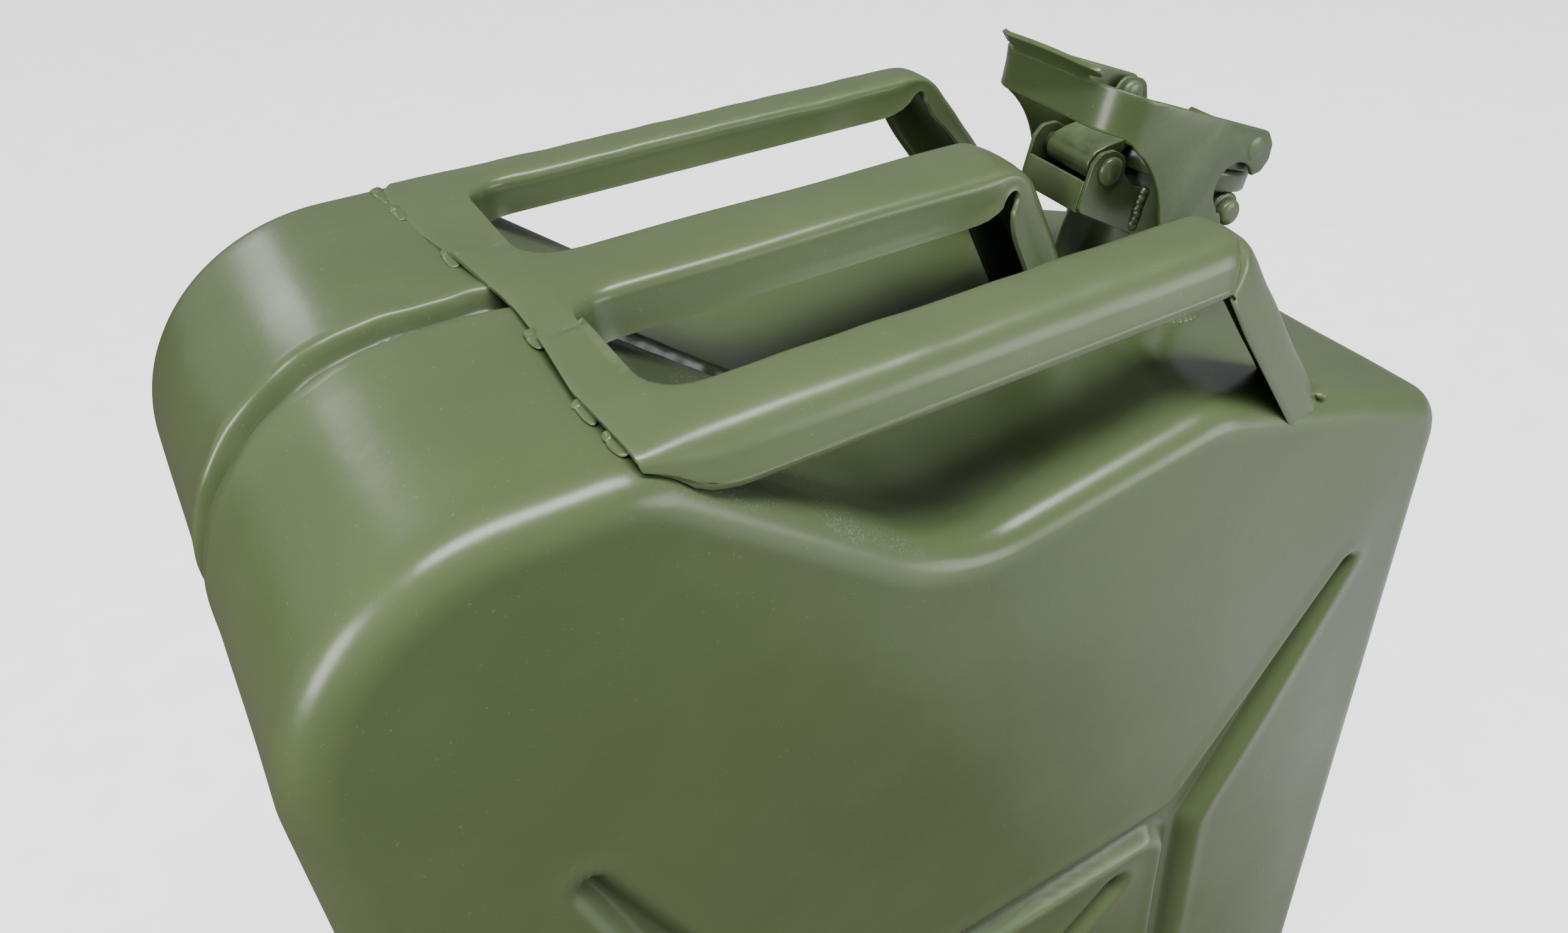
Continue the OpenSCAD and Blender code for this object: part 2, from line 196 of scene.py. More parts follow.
# ---------------------------------------------------------------- materials
def paint(name, tint=(0.106, 0.153, 0.060), rough=0.30, dust_and_shade=False, hollow_shade=0.45):
    """Semi-gloss enamel with drifted colour, orange peel, dust specks and rubbed edges, plus painted shade in
    hollows and sheltered spots.
    """
    mat = bpy.data.materials.new(name)
    mat.use_nodes = True
    nodes, links = mat.node_tree.nodes, mat.node_tree.links
    nodes.clear()

    def node(kind, **values):
        n = nodes.new(kind)
        for key, value in values.items():
            if key in n.inputs:
                n.inputs[key].default_value = value
            else:
                setattr(n, key, value)
        return n

    def noise(scale, detail=3.0, roughness=0.5):
        n = node("ShaderNodeTexNoise", Scale=scale, Detail=detail, Roughness=roughness)
        links.new(place.outputs["Object"], n.inputs["Vector"])
        return n.outputs["Fac"]

    def remap(value, a, b, c=0.0, d=1.0):
        n = node("ShaderNodeMapRange")
        for key, number in zip(("From Min", "From Max", "To Min", "To Max"), (a, b, c, d)):
            n.inputs[key].default_value = number
        links.new(value, n.inputs["Value"])
        return n.outputs["Result"]

    def maths(kind, a, b):
        n = node("ShaderNodeMath", operation=kind)
        for i, value in enumerate((a, b)):
            if isinstance(value, (int, float)):
                n.inputs[i].default_value = value
            else:
                links.new(value, n.inputs[i])
        return n.outputs[0]

    def mix(fac, a, b):
        n = node("ShaderNodeMix", data_type="RGBA")
        links.new(fac, n.inputs["Factor"])
        for key, value in ((6, a), (7, b)):
            if isinstance(value, tuple):
                n.inputs[key].default_value = (*value, 1)
            else:
                links.new(value, n.inputs[key])
        return n.outputs[2]

    place = node("ShaderNodeTexCoord")
    out = node("ShaderNodeOutputMaterial")
    shade = node("ShaderNodeBsdfPrincipled")
    links.new(shade.outputs[0], out.inputs[0])

    dark = tuple(c * 0.87 for c in tint)
    light = (tint[0] * 1.22, tint[1] * 1.16, tint[2] * 1.22)
    colour = mix(remap(noise(9, 3), 0.35, 0.65), dark, tint)
    colour = mix(remap(noise(34, 4), 0.45, 0.85, 0, 0.45), colour, light)
    specks = remap(noise(950, 2, 0.6), 0.69, 0.74, 0, 0.30)
    colour = mix(specks, colour, (0.30, 0.34, 0.22))
    geometry = node("ShaderNodeNewGeometry")
    edge = remap(geometry.outputs["Pointiness"], 0.515, 0.56, 0, 0.55)
    edge = maths("MULTIPLY", edge, remap(noise(60, 4, 0.7), 0.42, 0.62))
    colour = mix(edge, colour, (0.17, 0.22, 0.11))
    # painted shade: concave hollows are darkened towards near-black
    hollow = remap(geometry.outputs["Pointiness"], 0.495, 0.44, 0, hollow_shade)
    colour = mix(hollow, colour, (0.030, 0.042, 0.020))
    roughness = maths("ADD", remap(noise(22, 4), 0.3, 0.7, rough - 0.05, rough + 0.07),
                      maths("MULTIPLY", hollow, 0.25))
    height = maths("ADD", maths("MULTIPLY", noise(210, 2), 0.6), maths("MULTIPLY", noise(900, 2), 0.10))
    if dust_and_shade:
        apart = node("ShaderNodeSeparateXYZ")
        links.new(place.outputs["Object"], apart.inputs[0])
        x, y, z = apart.outputs
        # dust lies on the rear slope of the dip; painted shade darkens the recess under the handle bars
        slope = maths("MULTIPLY", remap(x, -0.092, -0.075), remap(x, -0.020, -0.045))
        slope = maths("MULTIPLY", slope, remap(z, 0.36, 0.37))
        facing = node("ShaderNodeSeparateXYZ")
        links.new(geometry.outputs["Normal"], facing.inputs[0])
        slope = maths("MULTIPLY", slope, remap(facing.outputs[2], 0.35, 0.6))
        patch = remap(noise(48, 4, 0.6), 0.44, 0.60)
        grit = remap(noise(1500, 3, 0.7), 0.50, 0.62)
        grit = maths("MULTIPLY", maths("MULTIPLY", slope, patch), grit)
        colour = mix(maths("MULTIPLY", grit, 0.55), colour, (0.30, 0.33, 0.26))
        # painted shade: the upward-facing recess floor under the handle bars is darkened
        under = maths("MULTIPLY", remap(x, -0.088, -0.070), remap(x, 0.068, 0.035))
        under = maths("MULTIPLY", under, remap(maths("ABSOLUTE", y, 0.0), 0.058, 0.034))
        level = maths("MULTIPLY", remap(z, 0.36, 0.37), remap(facing.outputs[2], 0.3, 0.6))
        under = maths("MULTIPLY", under, level)
        colour = mix(maths("MULTIPLY", under, 0.62), colour, (0.026, 0.037, 0.017))
        roughness = maths("ADD", roughness, maths("MULTIPLY", slope, 0.25))
        height = maths("ADD", height, maths("MULTIPLY", grit, 1.2))
    # painted shade: ambient occlusion darkens the colour in sheltered corners and recesses
    occlusion_shade = node("ShaderNodeAmbientOcclusion", samples=6, Distance=0.055)
    occlusion_shade = remap(occlusion_shade.outputs["AO"], 0.12, 0.66, 0.88, 0.0)
    colour = mix(occlusion_shade, colour, (0.012, 0.017, 0.008))
    links.new(colour, shade.inputs["Base Color"])
    links.new(roughness, shade.inputs["Roughness"])
    bump = node("ShaderNodeBump", Strength=0.35, Distance=0.00035)
    links.new(height, bump.inputs["Height"])
    links.new(bump.outputs[0], shade.inputs["Normal"])
    shade.inputs["Coat Weight"].default_value = 0.45
    shade.inputs["Coat Roughness"].default_value = 0.22
    return mat


def plain_material(name, colour, rough, metallic=0.0, scale=300, bump_height=0.0002):
    """Rubber, bare steel and the floor: mottled colour, uneven gloss and fine grain."""
    mat = bpy.data.materials.new(name)
    mat.use_nodes = True
    nodes, links = mat.node_tree.nodes, mat.node_tree.links
    shade = nodes["Principled BSDF"]
    place = nodes.new("ShaderNodeTexCoord")
    grain = nodes.new("ShaderNodeTexNoise")
    grain.inputs["Scale"].default_value = scale
    grain.inputs["Detail"].default_value = 4
    links.new(place.outputs["Object"], grain.inputs["Vector"])
    ramp = nodes.new("ShaderNodeValToRGB")
    ramp.color_ramp.elements[0].color = (*[c * 0.75 for c in colour], 1)
    ramp.color_ramp.elements[1].color = (*[min(1, c * 1.15) for c in colour], 1)
    links.new(grain.outputs["Fac"], ramp.inputs[0])
    links.new(ramp.outputs[0], shade.inputs["Base Color"])
    spread = nodes.new("ShaderNodeMapRange")
    spread.inputs["To Min"].default_value = rough - 0.08
    spread.inputs["To Max"].default_value = rough + 0.08
    links.new(grain.outputs["Fac"], spread.inputs["Value"])
    links.new(spread.outputs["Result"], shade.inputs["Roughness"])
    bump = nodes.new("ShaderNodeBump")
    bump.inputs["Strength"].default_value = 0.3
    bump.inputs["Distance"].default_value = bump_height
    links.new(grain.outputs["Fac"], bump.inputs["Height"])
    links.new(bump.outputs[0], shade.inputs["Normal"])
    shade.inputs["Metallic"].default_value = metallic
    return mat


WELD_TINT = (0.102, 0.148, 0.057)
BODY = paint("body paint", dust_and_shade=True)
WELD = paint("weld paint", tint=WELD_TINT, rough=0.36)
HANDLE = paint("handle paint", tint=(0.114, 0.162, 0.066), rough=0.30)
NECK = paint("neck paint", rough=0.34, hollow_shade=0.6)
# painted shade: the lid paint is the body paint made darker, for the shaded lid and lever
LID = paint("lid paint", tint=(0.076, 0.117, 0.041), rough=0.31, hollow_shade=0.6)
PIN = paint("pin paint", tint=(0.102, 0.148, 0.058), rough=0.34)
RUBBER = plain_material("gasket rubber", (0.022, 0.022, 0.021), 0.62, scale=700)
STEEL = plain_material("bare steel", (0.50, 0.51, 0.49), 0.38, metallic=1.0, scale=420)
FLOOR = plain_material("pale floor", (0.86, 0.86, 0.85), 0.75, scale=30, bump_height=0.0004)

# ---------------------------------------------------------------- side outline
NOSE_Z = FLAT_Z - (HALF_L - FLAT_X) * math.tan(TILT)
# x, z and corner radius: base, front slope, dip and hump
CORNERS = [(-HALF_L, 0, 24), (HALF_L, 0, 24), (HALF_L, NOSE_Z, 20), (FLAT_X, FLAT_Z, 36),
           (-20, 385, 45), (-91, HUMP_Z, 25), (-HALF_L, HUMP_Z, 56)]


def side_outline(count):
    """Evenly spaced outline points (x, z), their outward normals and their run along it."""
    path = []
    n = len(CORNERS)
    for i in range(n):
        p = np.array(CORNERS[i][:2], float)
        a = np.array(CORNERS[i - 1][:2], float) - p
        b = np.array(CORNERS[(i + 1) % n][:2], float) - p
        a, b = a / np.linalg.norm(a), b / np.linalg.norm(b)
        half = math.acos(a @ b) / 2
        r = CORNERS[i][2]
        mid = (a + b) / np.linalg.norm(a + b)
        hub = p + mid * r / math.sin(half)
        hollow = a[0] * b[1] - a[1] * b[0] > 0
        start = p + a * r / math.tan(half) - hub
        stop = p + b * r / math.tan(half) - hub
        a0, a1 = math.atan2(start[1], start[0]), math.atan2(stop[1], stop[0])
        a1 = a0 + (a1 - a0 + math.pi) % (2 * math.pi) - math.pi
        for t in np.linspace(0, 1, 40):
            d = np.array([math.cos(a0 + (a1 - a0) * t), math.sin(a0 + (a1 - a0) * t)])
            path.append(np.concatenate([hub + r * d, d * (-1 if hollow else 1)]))
    path = np.array(path + [path[0]])
    step = np.hypot(*np.diff(path[:, :2], axis=0).T)
    along = np.concatenate([[0], np.cumsum(step)])
    want = np.linspace(0, along[-1], count, endpoint=False)
    cols = np.stack([np.interp(want, along, path[:, k]) for k in range(4)], -1)
    cols[:, 2:] /= np.linalg.norm(cols[:, 2:], axis=1, keepdims=True)
    return cols[:, :2], cols[:, 2:], want


COLS = 780
EDGE, OUT, ALONG = side_outline(COLS)


def seam_half_width(x, z):
    """The seam channel is narrow over the top and opens to a shallow recess on the end walls."""
    low = smooth(415, 330, z) * smooth(10, 60, z)
    rear = low * smooth(-140, -168, x)
    front = low * smooth(140, 168, x)
    return 5.6 + 11 * rear + 8 * front


# ---------------------------------------------------------------- body shells
GROOVE_DROP, LIP_AT, RIB_DROP = 5.0, 1.14, 5.6  # LIP_AT is in groove half widths


def capsule(x, z, a, ra, b, rb):
    """Signed distance to a tapered bar from a to b."""
    ax, az = a
    dx, dz = b[0] - ax, b[1] - az
    t = np.clip(((x - ax) * dx + (z - az) * dz) / (dx * dx + dz * dz), 0, 1)
    return np.hypot(x - ax - t * dx, z - az - t * dz) - (ra + t * (rb - ra))


def rounded_box(x, z, mid_z, half_x, half_z, r):
    """Signed distance to a rounded rectangle."""
    qx, qz = np.abs(x) - half_x + r, np.abs(z - mid_z) - half_z + r
    return np.hypot(np.maximum(qx, 0), np.maximum(qz, 0)) + np.minimum(np.maximum(qx, qz), 0) - r


def soft_min(values, k):
    """Smallest of the distances, blended over k millimetres."""
    out = values[0]
    for v in values[1:]:
        h = np.clip(0.5 + 0.5 * (v - out) / k, 0, 1)
        out = v + (out - v) * h - k * h * (1 - h)
    return out


def rib_depth(x, z):
    """Depth of the pressed frame, corner kites and cross channels on a big face."""
    mid, hx, hz, wide = FACE_MID_Z, 88.0, 69.0, 17.0
    ring = np.maximum(rounded_box(x, z, mid, hx, hz, 14),
                      -rounded_box(x, z, mid, hx - wide, hz - wide, 9))
    bx, top, low = hx - wide / 2, mid + hz - wide / 2, mid - hz + wide / 2
    shapes = [ring,
              capsule(x, z, (137, 308), 4.5, (bx, top), 13), capsule(x, z, (-122, 338), 5, (-bx, top), 13),
              capsule(x, z, (135, 38), 4.5, (bx, low), 13), capsule(x, z, (-135, 38), 4.5, (-bx, low), 13)]
    for s in (-1, 1):  # the cross
        shapes.append(capsule(x, z, (-s * 48, mid - 38), 7, (s * 48, mid + 38), 7))
    field = soft_min(shapes, 6)
    return RIB_DROP * smooth(1.5, -6.5, field) - 0.6 * smooth(8, 0, field) * smooth(-6, 1, field)


def shell(sign):
    """One half of the body: seam channel, wall, rounded edge and ribbed face."""
    x0, z0 = EDGE[:, 0], EDGE[:, 1]
    half = seam_half_width(x0, z0)
    lips = ripple(16, 4, 5, ALONG) * 0.55 + ripple(45, 3, 6 + sign, ALONG) * 0.5
    half = half + np.where(z0 > 385, lips, 0.3 * lips)
    top = smooth(380, 400, z0)
    rows = []
    for q in (0, .18, .34, .46, .56, .66, .76, .86, .95, 1.04, LIP_AT):
        drop = GROOVE_DROP * (1 - smooth(0.50, 1.04, q)) - 0.55 * top * math.exp(-((q - 1.13) / 0.10) ** 2)
        rows.append((drop + 0 * half, half * q))
    flat = HALF_W - EDGE_R
    for t in np.linspace(0.05, 1, 15):
        y = half * LIP_AT + (flat - half * LIP_AT) * t
        ridge = np.exp(-((y - half * 1.3) / 4) ** 2) * top * (0.35 + 0.30 * ripple(20, 3, 21, ALONG))
        lift = 0.22 * ripple(70, 5, 11 + sign, x0, z0, y) + ridge
        bowl = smooth(-88, -62, x0) * smooth(66, 34, x0) * smooth(300, 340, z0)
        rough = smooth(-86, -74, x0) * smooth(-22, -40, x0) * smooth(300, 340, z0)
        bowl = 4.0 * bowl * smooth(71, 57, y) * smooth(6, 20, y)
        creases = 0.45 * rough * smooth(70, 58, y) * ripple(15, 4, 23 + sign, x0 * 0.35, y)
        rows.append(((bowl + creases - lift) * (1 - t ** 4), y))
    for a in np.radians(np.linspace(10, 90, 9)):
        inset = EDGE_R - EDGE_R * math.cos(a)
        rows.append((inset + 0 * half, flat + EDGE_R * math.sin(a) + 0 * half))
    points = []
    for inset, y in rows:
        p = EDGE - OUT * inset[:, None]
        points.append(np.stack([p[:, 0], sign * y, p[:, 1]], -1))
    hub = np.array([0.0, FACE_MID_Z])
    rim = EDGE - OUT * EDGE_R
    for r in np.concatenate([np.linspace(0.992, 0.12, 96), [0.06]]):
        p = hub + (rim - hub) * r
        y = HALF_W - rib_depth(p[:, 0], p[:, 1])
        y = y + 0.35 * smooth(1, 0.86, r) * ripple(110, 5, 31 + sign, p[:, 0], p[:, 1])
        y = y + 0.7 * smooth(1, 0.8, r) * smooth(0.1, 0.9, r)
        points.append(np.stack([p[:, 0], sign * y, p[:, 1]], -1))
    verts = np.vstack(points)
    count = len(points)
    centre = verts[-COLS:].mean(0)
    faces = grid_faces(count, COLS, wrap=True).tolist()
    last, tip = (count - 1) * COLS, count * COLS
    faces += [[last + i, last + (i + 1) % COLS, tip] for i in range(COLS)]
    return np.vstack([verts, centre]), faces


def off_neck(limit):
    """True for points outside a cylinder round the neck axis."""
    c, s = math.cos(TILT), math.sin(TILT)

    def test(p):
        dx, dz = p[0] - RIM_X, p[2] - RIM_Z
        return dz < -120 or math.hypot(dx * c - dz * s, p[1]) > limit
    return test


for side, label in ((1, "left_half_shell"), (-1, "right_half_shell")):
    verts, faces = shell(side)
    piece = add_piece(label + "_skin", verts, faces, BODY, inside=BODY_MID, keep=off_neck(NECK_R - 0.6))
    stand_in(piece, label, "can")

# ---------------------------------------------------------------- seam bead
BEAD_COLS, BEAD_ROWS, BEAD_PITCH = 1100, 9, 3.4
bead_edge, bead_out, bead_along = side_outline(BEAD_COLS)
rows = []
for a in np.linspace(0, math.pi, BEAD_ROWS):
    swell = 1 + 0.16 * np.sin(bead_along * 2 * math.pi / BEAD_PITCH + 1.2 * math.cos(a))
    swell = swell + 0.2 * ripple(22, 4, 41, bead_along)
    inset = 5.3 - 1.7 * math.sin(a) * swell
    p = bead_edge - bead_out * inset[:, None]
    y = -math.cos(a) * 2.3 * swell + 0.5 * ripple(60, 3, 42, bead_along)
    rows.append(np.stack([p[:, 0], y, p[:, 1]], -1))
piece = add_piece("seam_weld_bead", np.vstack(rows), grid_faces(BEAD_ROWS, BEAD_COLS, wrap=True), WELD,
                  inside=BODY_MID, keep=off_neck(NECK_R + 1))
stand_in(piece, "seam_weld", "can")

# ---------------------------------------------------------------- handle
SLOT_X, SLOT_R, BEND_R = -84.0, 12.0, 15.0
BAR_IN, BAR_OUT, MID_H, FLANGE = 61.0, 77.0, 13.0, 13.0
BAR_MID, SKEW, BEND_SPREAD = (BAR_IN + BAR_OUT) / 2, 3.0, 8.5
SLOT_TURNS = np.radians([15, 30, 45, 60, 75, 90])
ROOT_ROWS = 7
BAR_X, MID_X, LEG_A, MID_A = 60.0, 41.0, math.radians(56), math.radians(67)


def slope_z(x):
    """Height of the front slope, drawn on past its ends."""
    return FLAT_Z - (x - FLAT_X) * math.tan(TILT)


def foot(x, a):
    """Where a leg bent down by angle a at x meets the front slope, and how long it is."""
    x0, z0 = x + BEND_R * math.sin(a), HANDLE_Z - BEND_R * (1 - math.cos(a))
    t = (z0 - slope_z(x0)) / (math.sin(a) - math.tan(TILT) * math.cos(a))
    return x0 + t * math.cos(a), z0 - t * math.sin(a), t


def bar_path(x_bend, a):
    """Stations from the slot end to the foot: x, z, normal x, normal z, run, bend share."""
    out = []
    for x in np.arange(SLOT_X + SLOT_R + 3, x_bend - 1, 3.5):
        out.append((x, HANDLE_Z, 0, 1, x, 0.0))
    for t in np.linspace(0, 1, 15):
        b = a * t
        out.append((x_bend + BEND_R * math.sin(b), HANDLE_Z - BEND_R * (1 - math.cos(b)),
                    math.sin(b), math.cos(b), x_bend + BEND_R * b, t))
    length = foot(x_bend, a)[2] + 3
    x0, z0 = out[-1][:2]
    for t in np.linspace(0, length, 20)[1:]:
        out.append((x0 + t * math.cos(a), z0 - t * math.sin(a), math.sin(a), math.cos(a),
                    x_bend + BEND_R * a + t, 1 + t / length))
    return np.array(out)


def root_edge(y):
    """Rear edge of the root plate, set slightly askew on the can."""
    return np.interp(y, [-82, -77, -50, -14, 0, 14, 40, 70, 80],
                     [-89, -94, -95.5, -93, -94, -96, -100, -102, -96])


def root_z(y, t, sign=1):
    """Root plate height, t from its rear edge to the slots: ruffled and pressed on at the rear."""
    ruffle = 1.5 * (1 - t) ** 2 * np.exp(-((sign * y - 19) / 8) ** 2) * (1 + 0.5 * np.sin(y * 0.9))
    return HANDLE_Z + ruffle - 0.9 * (1 - t) ** 1.5


def root_dent(y, t):
    """Shallow dents pressed into the root plate beside the middle bar."""
    return 0.35 * np.exp(-((np.abs(y) - 46) / 9) ** 2) * (1 - t)


def section(inner, depth_in, depth_out):
    """Side bar section (y, drop) from the inner lip over the top to the outer rolled lip."""
    outer, skew = BAR_OUT, SKEW
    r_in, r_out = 3.0, 6.0
    k_in, k_out = depth_in / FLANGE, depth_out / FLANGE
    pts = [(inner - 0.5 * k_in, -depth_in), (inner, -depth_in + 1.2 * k_in),
           (inner, -(r_in + 2) * k_in), (inner, -r_in * k_in)]
    for a in np.radians([30, 60, 90]):
        pts.append((inner + r_in * (1 - math.cos(a)), -r_in * k_in * (1 - math.sin(a))))
    for t in (0.25, 0.5, 0.75, 1.0):
        pts.append((inner + r_in + (outer - r_out - inner - r_in) * t, -0.25 * t * t * k_out))
    for a in np.radians([18, 36, 54, 72]):
        drop = 0.25 + r_out * 0.62 * (1 - math.cos(a))
        pts.append((outer - r_out + r_out * math.sin(a), -drop * k_out))
    for t in (0.38, 0.5, 0.62, 0.74, 0.85, 0.94):
        pts.append((outer + skew * t * k_out, -depth_out * t))
    pts.append((outer + (skew + 0.5) * k_out, -depth_out * 0.99))
    pts.append((outer + (skew + 1.1) * k_out, -depth_out))
    return np.array(pts)


def bar_rows(sign):
    """Rows for one side bar beyond the slot end, unmirrored; the near one is slit at its bend."""
    near = sign < 0
    rows = []
    for x, z, nx, nz, run, bend in bar_path(BAR_X, LEG_A):
        at_bend = math.exp(-((run - BAR_X - BEND_R * LEG_A / 2) / BEND_SPREAD) ** 2)
        d_in = FLANGE * 0.85 * (1 - 0.62 * at_bend)
        d_out = skirt_depth(x) * (1 - (0.0 if near else 0.15) * at_bend)
        leg = smooth(0.8, 1.25, bend)
        flat = section(BAR_IN, d_in * (1 - 0.5 * leg), d_out * (1 + 0.15 * leg))
        y, h = flat[:, 0], flat[:, 1]
        if near:
            line = run - (BAR_X + 6.5) + 0.35 * h
            y = y - 4.2 * np.exp(-(line / 1.15) ** 2) * smooth(-1.0, -3.2, h) * (y > BAR_MID)
        runs = run + 0 * y
        wave = 0.22 * ripple(38, 4, 51 + sign, runs, y) + 0.12 * ripple(14, 3, 52 + sign, runs, y)
        y = (y - BAR_MID) * (1 - 0.05 * at_bend) + BAR_MID
        h = h + wave * smooth(-9, -1, h)
        rows.append(np.stack([x + nx * h, y, z + nz * h], -1))
    return rows


def skirt_depth(x):
    """The outer flange hugs the hump at the root and is full depth where the body drops away."""
    return np.interp(x, [-103, -97, -91, -85, -80, -74], [1.2, 3.0, 6.0, 9.5, 12.0, FLANGE])


def side_strip(sign):
    """Root rows, slot-corner rows and the bar of one side as one strip, unmirrored."""
    rows = []
    for t in np.linspace(0, 1, ROOT_ROWS):
        flat = section(BAR_IN - SLOT_R, 0.0, skirt_depth(-97 + 13 * t))
        y = flat[:, 0]
        lo = root_edge(sign * y)
        z = root_z(y, t, sign) - root_dent(y, t) + flat[:, 1]
        rows.append(np.stack([lo + (SLOT_X - lo) * t, y, z], -1))
    for turn in SLOT_TURNS:
        x = SLOT_X + SLOT_R * (1 - math.cos(turn))
        depth_in = FLANGE * min(0.85, 0.15 + 1.1 * math.sin(turn))
        flat = section(BAR_IN - SLOT_R * (1 - math.sin(turn)), depth_in, skirt_depth(x))
        rows.append(np.stack([x + 0 * flat[:, 0], flat[:, 0], HANDLE_Z + flat[:, 1]], -1))
    return rows + bar_rows(sign)


def root_strip(sign):
    """The part of the root plate between a side bar and the middle one, with the slot's rear lip."""
    y = np.linspace(MID_H + SLOT_R, BAR_IN - SLOT_R, 9)
    lo = root_edge(sign * y)
    rows = [np.stack([lo + (SLOT_X - lo) * t, y, root_z(y, t, sign) - root_dent(y, t)], -1)
            for t in np.linspace(0, 1, ROOT_ROWS)]
    return rows + [rows[-1] + np.array([deep * 0.35, 0, -deep]) for deep in (0.8, 2.0)]


def strip(rows, mirror=1):
    """Vertices and faces of the rows, mirrored across the seam plane when mirror is -1."""
    verts = np.vstack(rows) * np.array([1, mirror, 1])
    return verts, grid_faces(len(rows), len(rows[0])).tolist()


def mid_section(half, depth):
    """Channel section of the middle bar, from one lip over the crown to the other."""
    k, r = depth / FLANGE, 4.0
    right = [(0, 0.35), (half * 0.35, 0.3), (half - r, 0.0)]
    for a in np.radians([22, 45, 67]):
        right.append((half - r + r * math.sin(a), -r * (1 - math.cos(a)) * k))
    right += [(half, -r * k), (half + 0.4 * k, -depth * 0.6), (half + 0.8 * k, -depth * 0.92),
              (half + 1.3 * k, -depth)]
    left = [(-y, h) for y, h in right[:0:-1]]
    return np.array(left + right)


def mid_strip():
    """Root rows, slot-corner rows and the middle bar with its leg as one strip."""
    rows = []
    for t in np.linspace(0, 1, ROOT_ROWS):
        flat = mid_section(MID_H + SLOT_R, 0.0)
        y = flat[:, 0]
        lo = root_edge(y)
        rows.append(np.stack([lo + (SLOT_X - lo) * t, y, root_z(y, t) + flat[:, 1] * t], -1))
    for turn in SLOT_TURNS:
        x = SLOT_X + SLOT_R * (1 - math.cos(turn))
        depth = FLANGE * min(1, 0.15 + 1.2 * math.sin(turn))
        flat = mid_section(MID_H + SLOT_R * (1 - math.sin(turn)), depth)
        rows.append(np.stack([x + 0 * flat[:, 0], flat[:, 0], HANDLE_Z + flat[:, 1]], -1))
    for x, z, nx, nz, run, _ in bar_path(MID_X, MID_A):
        at_bend = math.exp(-((run - MID_X - BEND_R * MID_A / 2) / BEND_SPREAD) ** 2)
        flat = mid_section(MID_H, FLANGE * (1 - 0.6 * at_bend))
        y, h = flat[:, 0], flat[:, 1]
        h = h + 0.25 * ripple(34, 4, 57, run + 0 * y, y) * smooth(-9, -1, h)
        rows.append(np.stack([x + nx * h, y * (1 - 0.06 * at_bend), z + nz * h], -1))
    return rows


parts = []
for sign in (1, -1):
    parts += [strip(side_strip(sign), sign), strip(root_strip(sign), sign)]
parts.append(strip(mid_strip()))
verts, faces = join_parts(parts)
piece = add_piece("carrying_handle_pressing", verts, faces, HANDLE, inside=(-20, 0, 380), weld=0.03)
thicken(piece, SHEET_T, 0.3, 55)
stand_in(piece, "carrying_handle", "can")


# ---------------------------------------------------------------- welds
def blob(centre, size, seed):
    """Lumpy weld drop, a deformed ball."""
    n = 14
    th = np.linspace(0, math.pi, n)[:, None]
    ph = np.linspace(0, 2 * math.pi, 2 * n, endpoint=False)[None, :]
    x, y, z = np.sin(th) * np.cos(ph), np.sin(th) * np.sin(ph), np.cos(th) + 0 * ph
    swell = 1 + 0.16 * ripple(1.6, 5, seed, x, y, z)
    p = np.stack([x, y, z], -1) * swell[..., None] * np.array(size) + np.array(centre)
    return p.reshape(-1, 3), grid_faces(n, 2 * n, wrap=True).tolist()


def add_blobs(name, node, spots):
    """One piece of weld drops from (centre, size) pairs."""
    parts = [blob(c, s, 71 + i) for i, (c, s) in enumerate(spots)]
    verts, faces = join_parts(parts)
    stand_in(add_piece(name, verts, faces, WELD, weld=0.01), node, "can")


spots = []
for y in (-70, -56, -24, 24, 56, 70):
    spots.append(((root_edge(y) - 0.2, y, HUMP_Z), (1.8, 4.8, 0.8)))
    spots.append(((root_edge(y) - 0.4, y + 3.2, HUMP_Z + 0.1), (1.6, 1.8, 1.0)))
add_blobs("handle_root_weld_beads", "handle_root_welds", spots)
spots = []
for s in (-1, 1):
    x, z, _ = foot(BAR_X, LEG_A)
    for y, big in ((BAR_IN + 3, 3.0), (BAR_OUT - 8, 3.6), (BAR_OUT - 2, 3.2)):
        spots.append(((x + 0.6, s * y, z + 0.2), (big, big * 1.15, 1.8)))
    x, z, _ = foot(MID_X, MID_A)
    spots.append(((x + 0.2, s * (MID_H - 5), z - 0.6), (2.8, 3.4, 2.0)))
add_blobs("handle_foot_weld_beads", "handle_foot_welds", spots)

# ---------------------------------------------------------------- neck
NECK_LEN = (RIM_Z - slope_z(RIM_X)) * math.cos(TILT)


def turned(name, node, profile, material, body, place=neck, n=96, closed=True, sharp=None):
    """A turned piece standing in for a node."""
    verts, faces = turn_profile(profile, place, n, closed)
    stand_in(add_piece(name, verts, faces, material, weld=0.01, sharp=sharp), node, body)


rim = [(22.3, -0.7), (22.5, -0.2), (23.0, 0.0), (23.6, -0.05), (24.1, -0.5), (24.25, -1.2), (24.0, -2.0),
       (23.6, -2.6), (23.5, -3.4), (23.5, -12), (23.55, -24), (23.6, -36), (23.9, -42), (24.0, -NECK_LEN - 5),
       (22.4, -NECK_LEN - 5), (22.3, -30), (22.3, -3)]
turned("filler_neck_tube", "filler_neck", rim, NECK, "can", sharp=60)


def weld_ring(u, y, w):
    """Neck ring with the swell of a hand-laid bead."""
    a = np.arctan2(y, u)
    scales = 46
    swell = 1 + 0.012 * np.sin(a * scales) + 0.008 * np.sin(a * 7 + 1)
    return neck(u * swell, y * swell, w + 0.25 * np.sin(a * scales + 0.8))


ring = [(23.0, -NECK_LEN - 1.5), (23.2, -NECK_LEN + 3.2), (24.2, -NECK_LEN + 2.9), (25.3, -NECK_LEN + 2.0),
        (26.4, -NECK_LEN + 1.2), (27.4, -NECK_LEN + 0.2), (27.6, -NECK_LEN - 1.5)]
turned("neck_weld_bead", "neck_weld", ring, WELD, "can", place=weld_ring, n=240)


def rod_place(u0, w0):
    """Maps a profile turned about the cross axis to the can frame."""
    return lambda a, b, y: neck(u0 + a, y, w0 + b)


